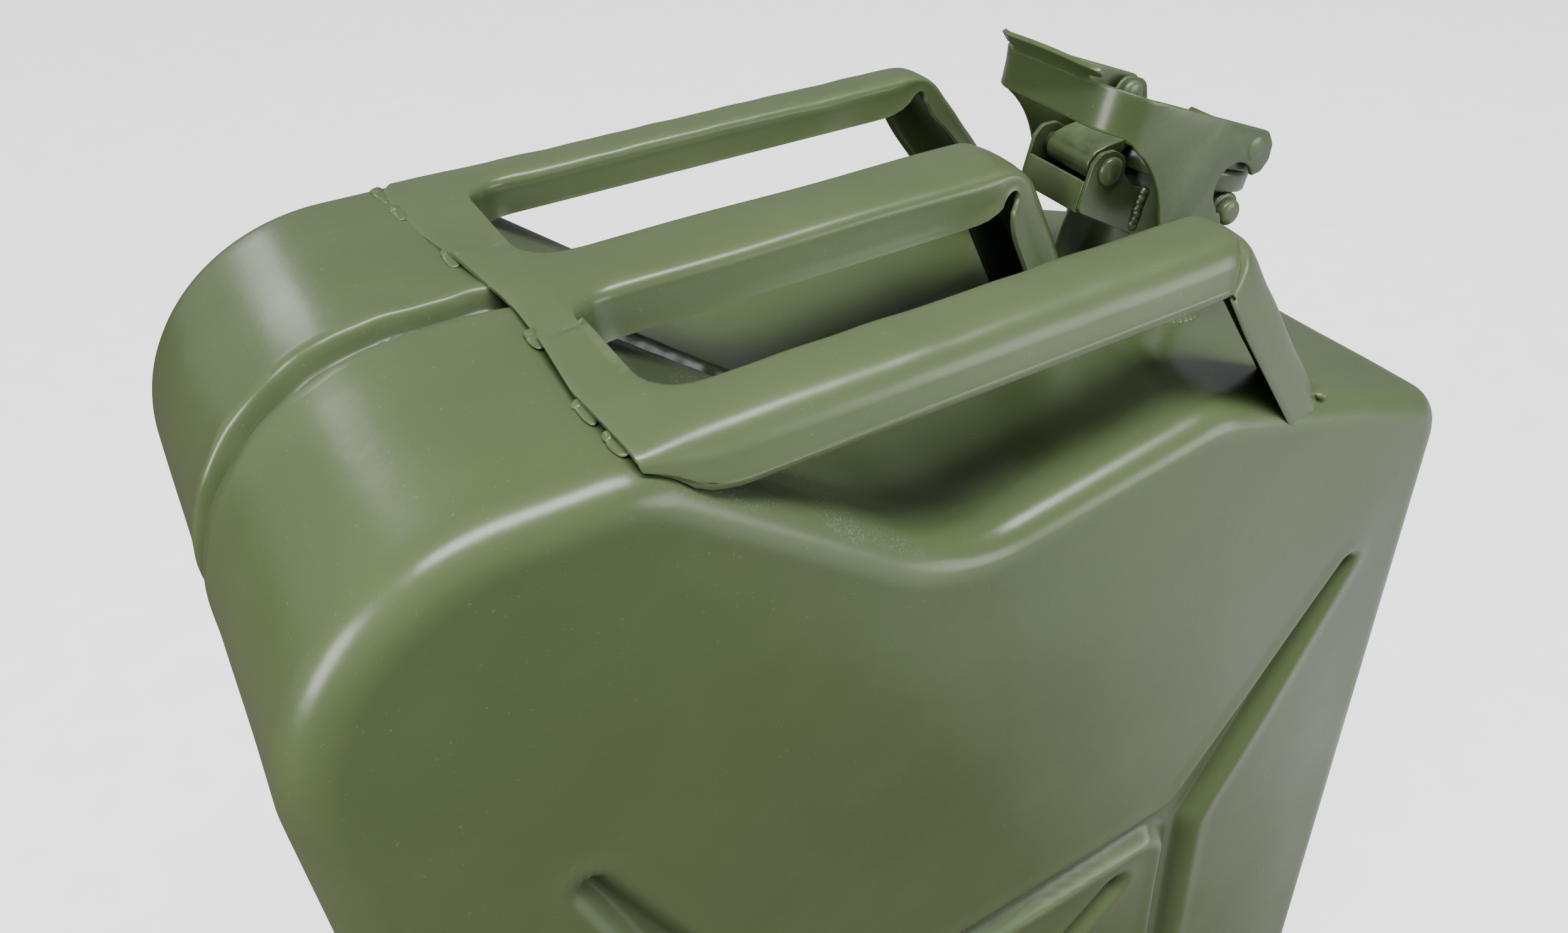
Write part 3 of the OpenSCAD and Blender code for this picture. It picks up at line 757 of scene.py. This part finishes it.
LUG_U, LUG_W, CHEEK_IN, CHEEK_OUT = 4.9, -8.2, 26.5, 28.0  # the last two are the lever's cheeks
for s, label in ((1, "left_catch_lug"), (-1, "right_catch_lug")):
    prof = [(0.01, 15), (5.6, 15), (5.6, CHEEK_IN - 1.2), (5.1, CHEEK_IN - 0.7), (4.0, CHEEK_IN - 0.7),
            (3.95, CHEEK_OUT), (3.5, CHEEK_OUT + 0.5), (1.5, CHEEK_OUT + 0.8), (0.01, CHEEK_OUT + 0.8)]
    prof = [(r, s * y) for r, y in prof]
    turned(label + "_stud", label, prof, NECK, "can", place=rod_place(LUG_U, LUG_W),
           n=40, closed=False, sharp=50)

# ---------------------------------------------------------------- hinge
PIN_U, PIN_W, PIN_R, EAR_IN, EAR_T = -36.0, -3.0, 3.0, 12.5, 1.5
parts = []
ear = rounded([(-43, -16), (-16, -22), (-16, -7), (-24, -7), (-29.5, -3.5), (-31.4, 1.6), (-36, 3.0),
               (-41, 1.6), (-43, -2)], [2, 0.5, 0.5, 2, 2, 3, 3, 3, 2], 5)
for y in (-EAR_IN - EAR_T, EAR_IN):
    parts.append(plate(ear, y, y + EAR_T, side_place))
web = rounded([(-43.2, -16.5), (-41.6, -16.5), (-41.6, -7.6), (-42.6, -7.2), (-43.2, -7.6)], 0.3, 3)
parts.append(plate(web, -EAR_IN, EAR_IN, side_place))
verts, faces = join_parts(parts)
piece = add_piece("hinge_bracket_plates", verts, faces, NECK, sharp=30)
soften(piece, 0.4, 30)
stand_in(piece, "hinge_bracket", "can")
spots = []
for s in (-1, 1):
    for k in range(7):
        spots.append((neck(-19.2, s * (EAR_IN + EAR_T - 0.1), -18.5 + 1.7 * k), (1.5, 1.5, 1.7)))
add_blobs("hinge_bracket_weld_beads", "hinge_bracket_welds", spots)
far = EAR_IN + EAR_T
prof = [(0.01, -far - 2), (2.6, -far - 2), (4.0, -far - 1.4), (4.4, -far - 0.7), (4.3, -far), (PIN_R, -far),
        (PIN_R, far), (4.3, far), (4.4, far + 0.7), (4.0, far + 1.4), (2.6, far + 2), (0.01, far + 2)]
turned("hinge_pin_headed", "hinge_pin", prof, PIN, "can", place=rod_place(PIN_U, PIN_W),
       n=36, closed=False, sharp=50)

# ---------------------------------------------------------------- breather
PIPE_U = -16.5


def pipe_place(u, y, w):
    return neck(u + PIPE_U, y, w)


prof = [(4, -76.6), (4, -5.6), (3.8, -5), (3.2, -5), (3.0, -5.4), (3.0, -76.6), (3.2, -77), (3.8, -77)]
turned("breather_tube_pipe", "breather_tube", prof, STEEL, "can", place=pipe_place,
       n=32, sharp=50)
prof = [(4.05, -36), (4.9, -36), (5.0, -35.6), (5.0, -28.4), (4.9, -28), (4.05, -28)]
tab = rounded([(-22.2, -2.4), (-20.6, -2.4), (-20.6, 2.4), (-22.2, 2.4)], 0.4, 3)
verts, faces = join_parts([turn_profile(prof, pipe_place, 32, True), plate(tab, -36, -28, neck)])
piece = add_piece("breather_clip_band", verts, faces, STEEL, weld=0.001, sharp=40)
stand_in(piece, "breather_clip", "can")

# ---------------------------------------------------------------- lid
CAP_TOP, BRIDGE_TOP, PIVOT_U, PIVOT_W, SIDE_H = 4.2, 5.7, 4.0, 12.0, 17.2
SIDE_LO, EYE_R, EYE_HALF, LIP_HALF = CHEEK_IN - 1.7, 4.6, 9.5, 16.0
cap = [(2.5, 3.0), (24.0, 3.0), (25.0, 2.4), (25.0, -2.2), (25.3, -2.6), (26.0, -2.6), (26.3, -2.1),
       (26.3, 2.3), (26.0, 3.3), (25.2, 4.0), (24.2, CAP_TOP), (20.0, CAP_TOP), (18.5, 3.9), (16.5, 3.9),
       (15.0, CAP_TOP), (2.5, CAP_TOP)]
turned("lid_cap_dish", "lid_cap", cap, LID, "lid", sharp=40)
seal = [(18.0, 3.0), (18.0, 0.7), (18.5, 0.1), (19.4, 0.0), (20.6, 0.25), (22.4, 0.25), (23.6, 0.0),
        (24.4, 0.1), (24.8, 0.7), (24.8, 3.0)]
turned("lid_gasket_ring", "lid_gasket", seal, RUBBER, "lid", sharp=50)
prof = [(0.01, 1.3), (3.8, 1.4), (5.2, 2.0), (5.5, 2.8), (5.5, 3.0), (2.5, 3.0), (2.5, BRIDGE_TOP),
        (5.0, BRIDGE_TOP), (5.0, 6.2), (4.2, 7.1), (2.6, 7.6), (0.01, 7.75)]
turned("lid_rivet_domed", "lid_rivet", prof, PIN, "lid", n=40, closed=False, sharp=50)

arm = 12.2
plan = rounded([(-29, -arm), (-6, -arm), (-4, -SIDE_LO), (12, -SIDE_LO), (13, -LIP_HALF), (20, -LIP_HALF),
                (20, LIP_HALF), (13, LIP_HALF), (12, SIDE_LO), (-4, SIDE_LO), (-6, arm), (-29, arm)],
               [0, 4, 3, 3, 3, 1, 1, 3, 3, 3, 4, 0], 6)
parts = [plate(plan, CAP_TOP, BRIDGE_TOP, neck)]
side = rounded([(-4, CAP_TOP), (12, CAP_TOP), (12, 11), (9, SIDE_H), (-1, SIDE_H), (-4, 11)],
               [0, 0, 3, 5, 5, 3], 6)
for y in (SIDE_LO, -SIDE_LO - SHEET_T):
    parts.append(plate(side, y, y + SHEET_T, side_place))
curl = rounded([(18, CAP_TOP), (20, CAP_TOP), (22.6, 9.6), (24.2, 11.8), (23.2, 12.8), (21.2, 10.6),
                (19, BRIDGE_TOP), (17, BRIDGE_TOP)], [0, 3, 4, 0.7, 0.7, 3, 3, 0], 5)
parts.append(plate(curl, -LIP_HALF, LIP_HALF, side_place))
turn = np.radians(np.arange(150, 400, 10))
eye = np.stack([PIN_U + EYE_R * np.cos(turn), PIN_W + EYE_R * np.sin(turn)], -1)
arm_side = [(-29.5, 0.5), (-27, 3.6), (-25, CAP_TOP), (-25, BRIDGE_TOP), (-29, BRIDGE_TOP), (-35, 3.2),
            (-39, 0.8)]
parts.append(plate(np.vstack([eye, arm_side]), -EYE_HALF, EYE_HALF, side_place))
verts, faces = join_parts(parts)
piece = add_piece("lid_bridge_stamping", verts, faces, LID, sharp=35)
soften(piece, 0.45, 35)
stand_in(piece, "lid_bridge", "lid")

# ---------------------------------------------------------------- lever
WALL_U, CORNER_R = -52.0, 11.0
SPLIT_U = WALL_U + CORNER_R  # the cheeks are flat ahead of this, and the rear channel bends behind it
REACH = CORNER_R + SHEET_T
NOTCH_R, CHANNEL_ROWS, TAB_ROWS, TAB_COLS = 7.6, 12, 10, 15


def upper(u):
    """Height of the lever's top edge."""
    return np.interp(u, [-56, -46, 7], [21.8, 21.4, 17.6])


def smooth_line(points, cuts):
    """Catmull-Rom curve through the points."""
    p = np.array(points, float)
    p = np.vstack([2 * p[0] - p[1], p, 2 * p[-1] - p[-2]])
    out = []
    for i in range(1, len(p) - 2):
        a, b, c, d = p[i - 1:i + 3]
        for t in np.linspace(0, 1, cuts, endpoint=False):
            out.append(0.5 * ((2 * b) + (c - a) * t + (2 * a - 5 * b + 4 * c - d) * t ** 2
                              + (-a + 3 * b - 3 * c + d) * t ** 3))
    out.append(p[-2])
    return np.array(out)


def cheek_polygon():
    """Side view of a cheek ahead of the rear corner, with the notch and the hook jaw."""
    top = [(u, float(upper(u))) for u in np.linspace(SPLIT_U, 2, 12)]
    nose = rounded([(2, 17.95), (7, 17.6), (10.6, 14.2), (11.6, 9.5), (9.8, 5.6), (6.9, 4.2)],
                   [0, 3, 2.5, 2.5, 1.6, 0], 4)[1:-1]
    ang = np.radians(np.linspace(32, 238, 26))
    notch = np.stack([NOTCH_R * np.cos(ang), NOTCH_R * np.sin(ang)], -1)
    jaw = rounded([(-2.2, -7.4), (-0.4, -9.2), (0.8, -11.4), (3.0, -12.9), (3.2, -15.2), (1.6, -17.2),
                   (-1, -18.4), (-5, -19.3)], 1.2, 3)
    swing = smooth_line([(-10, -19.6), (-16, -19.4), (-21.5, -17.4), (-25, -13.6), (-27.8, -8.6), (-31, -3.6),
                         (-34.5, 0.4), (-38, 3.4)], 5)
    back = [(SPLIT_U, float(w)) for w in np.linspace(5.4, float(upper(SPLIT_U)), 12)[:-1]]
    return np.vstack([top, nose, notch, jaw, swing, back])


cheek = cheek_polygon()
parts = []
for s in (-1, 1):
    n = len(cheek)
    order = list(range(n)) if s > 0 else list(range(n))[::-1]
    parts.append((neck(cheek[:, 0], np.full(n, s * CHEEK_OUT), cheek[:, 1]), [order]))
turn = np.radians(np.linspace(0, 90, 9))
corner = np.stack([SPLIT_U - REACH * np.sin(turn), -CHEEK_OUT + REACH * (1 - np.cos(turn))], -1)
straight = [(corner[-1, 0], y) for y in np.linspace(corner[-1, 1], -corner[-1, 1], 15)[1:-1]]
plan_line = np.vstack([corner, straight, (corner * np.array([1, -1]))[::-1]])


def lean(y, w):
    """The rear wall creases along a diagonal and leans back above it into the thumb tab."""
    above = np.maximum(0, w - (21.0 - (np.clip(y, -24, 16) + 20) * 0.33))
    return 0.44 * above ** 2 / (above + 1.0) * smooth(26, 13, np.abs(y))


rows = []
for t in np.linspace(0, 1, CHANNEL_ROWS):
    low = 9.6 - 4.2 * smooth(SPLIT_U - 7, SPLIT_U, plan_line[:, 0])
    w = low + (float(upper(SPLIT_U)) - low) * t
    extra = 0.6 * t * smooth(SPLIT_U, WALL_U, plan_line[:, 0])
    at_rear = smooth(SPLIT_U, WALL_U - 1, plan_line[:, 0])
    back = lean(plan_line[:, 1], w + extra) * at_rear
    rows.append(neck(plan_line[:, 0] - back, plan_line[:, 1], w + extra))
parts.append((np.vstack(rows), grid_faces(CHANNEL_ROWS, len(plan_line)).tolist()))
rows = []
for t in np.linspace(0, 1, TAB_ROWS):
    wide = 14.0 + 5.6 * float(smooth(0.45, 0.72, t)) - 11.2 * max(0.0, t - 0.88)
    y = np.linspace(-wide, wide, TAB_COLS)
    w = float(upper(SPLIT_U)) + 0.3 + 4.6 * t
    rows.append(neck(WALL_U - SHEET_T - lean(y, w) - 2.6 * t * t, y, w + 0.2 * np.cos(y * 0.16)))
parts.append((np.vstack(rows), grid_faces(TAB_ROWS, TAB_COLS).tolist()))
verts, faces = join_parts(parts)
piece = add_piece("locking_lever_channel", verts, faces, LID, weld=0.02)
thicken(piece, SHEET_T, 0.35, 45)
stand_in(piece, "locking_lever", "lever")

parts = []
head = CHEEK_OUT + 0.15
for s in (-1, 1):
    prof = [(0.01, SIDE_LO - 1.5), (3.2, SIDE_LO - 1.5), (4.2, SIDE_LO - 0.8), (4.4, SIDE_LO), (3.0, SIDE_LO),
            (3.0, head), (4.6, head), (4.6, head + 0.65), (4.0, head + 1.25), (2.4, head + 1.75),
            (0.01, head + 1.85)]
    prof = [(r, s * y) for r, y in prof]
    parts.append(turn_profile(prof, rod_place(PIVOT_U, PIVOT_W), 36))
verts, faces = join_parts(parts)
piece = add_piece("lever_rivets_domed", verts, faces, PIN, weld=0.01, sharp=50)
stand_in(piece, "lever_rivets", "lid")

# ---------------------------------------------------------------- floor, light, camera
FLOOR_HALF, FLOOR_COLS = 9000.0, 7
lines = np.linspace(-FLOOR_HALF, FLOOR_HALF, FLOOR_COLS)
rows = [np.stack([lines, np.full(FLOOR_COLS, y), np.zeros(FLOOR_COLS)], -1) for y in lines]
floor = add_piece("floor", np.vstack(rows), grid_faces(FLOOR_COLS, FLOOR_COLS), FLOOR, inside=(0, 0, -1000))
# the floor glows to the camera, and lights the can brown and dim behind, pale in front
nodes, links = FLOOR.node_tree.nodes, FLOOR.node_tree.links
shade = nodes["Principled BSDF"]
rays = nodes.new("ShaderNodeLightPath")
glow = nodes.new("ShaderNodeMath")
glow.operation = "MULTIPLY"
glow.inputs[1].default_value = 1.6
links.new(rays.outputs["Is Camera Ray"], glow.inputs[0])
links.new(glow.outputs[0], shade.inputs["Emission Strength"])
shade.inputs["Emission Color"].default_value = (1, 1, 1, 1)
tone = nodes.new("ShaderNodeMix")
tone.data_type = "RGBA"
links.new(rays.outputs["Is Camera Ray"], tone.inputs["Factor"])
spread = nodes.new("ShaderNodeMapRange")
spread.inputs["From Min"].default_value, spread.inputs["From Max"].default_value = 0.12, 0.34
apart = nodes.new("ShaderNodeSeparateXYZ")
links.new(nodes["Texture Coordinate"].outputs["Object"], apart.inputs[0])
links.new(apart.outputs[0], spread.inputs["Value"])
bounce = nodes.new("ShaderNodeMix")
bounce.data_type = "RGBA"
links.new(spread.outputs["Result"], bounce.inputs["Factor"])
bounce.inputs[6].default_value = (0.15, 0.125, 0.10, 1)
bounce.inputs[7].default_value = (0.72, 0.73, 0.74, 1)
links.new(bounce.outputs[2], tone.inputs[6])
links.new(nodes["Color Ramp"].outputs[0], tone.inputs[7])
links.new(tone.outputs[2], shade.inputs["Base Color"])


def area_light(name, place, target, size, power, colour=(1, 1, 1)):
    """Rectangular light at place, turned to target; metres and watts."""
    lamp = bpy.data.lights.new(name, "AREA")
    lamp.shape, lamp.size, lamp.size_y = "RECTANGLE", size[0], size[1]
    lamp.energy, lamp.color = power, colour
    holder = bpy.data.objects.new(name, lamp)
    holder.location = place
    holder.rotation_euler = (Vector(target) - Vector(place)).to_track_quat("-Z", "Y").to_euler()
    bpy.context.scene.collection.objects.link(holder)


area_light("top_softbox", (-0.12, -0.50, 1.75), (-0.05, 0, 0.35), (1.5, 0.45), 29)
area_light("rear_window", (-1.7, -0.35, 0.95), (-0.1, 0, 0.35), (0.6, 0.9), 17, (1.0, 0.99, 0.97))
area_light("far_window", (-0.59, 1.60, 1.14), (-0.12, 0, 0.44), (0.36, 0.24), 1.3, (0.98, 0.99, 1.0))
area_light("front_wall", (1.2, -1.5, 0.55), (0.05, 0, 0.3), (1.1, 0.7), 10, (0.98, 0.99, 1.0))

world = bpy.data.worlds.new("studio")
world.use_nodes = True
nodes, links = world.node_tree.nodes, world.node_tree.links
sky = nodes["Background"]
sky.inputs["Color"].default_value = (0.93, 0.95, 0.98, 1)
seen = nodes.new("ShaderNodeLightPath")
power = nodes.new("ShaderNodeMapRange")
power.inputs["To Min"].default_value, power.inputs["To Max"].default_value = 0.27, 1.5
links.new(seen.outputs["Is Camera Ray"], power.inputs["Value"])
links.new(power.outputs["Result"], sky.inputs["Strength"])
bpy.context.scene.world = world

lens = bpy.data.cameras.new("photo_view")
lens.sensor_fit, lens.sensor_width, lens.lens = "HORIZONTAL", 36.0, 28.75
lens.shift_x, lens.shift_y = -0.0815, -0.0070
lens.clip_start = 0.01
azimuth, elevation, roll = math.radians(-33.41), math.radians(36.60), math.radians(-0.33)
back = Vector((math.sin(azimuth) * math.cos(elevation), -math.cos(azimuth) * math.cos(elevation),
               math.sin(elevation)))
right = Vector((math.cos(azimuth), math.sin(azimuth), 0))
up = back.cross(right)
right, up = (math.cos(roll) * right + math.sin(roll) * up, -math.sin(roll) * right + math.cos(roll) * up)
pose = Matrix((right, up, back)).transposed().to_4x4()
pose.translation = Vector((-0.15458, -0.26381, 0.58529))
camera = bpy.data.objects.new("photo_view", lens)
bpy.context.scene.collection.objects.link(camera)
camera.matrix_world = pose
bpy.context.scene.camera = camera
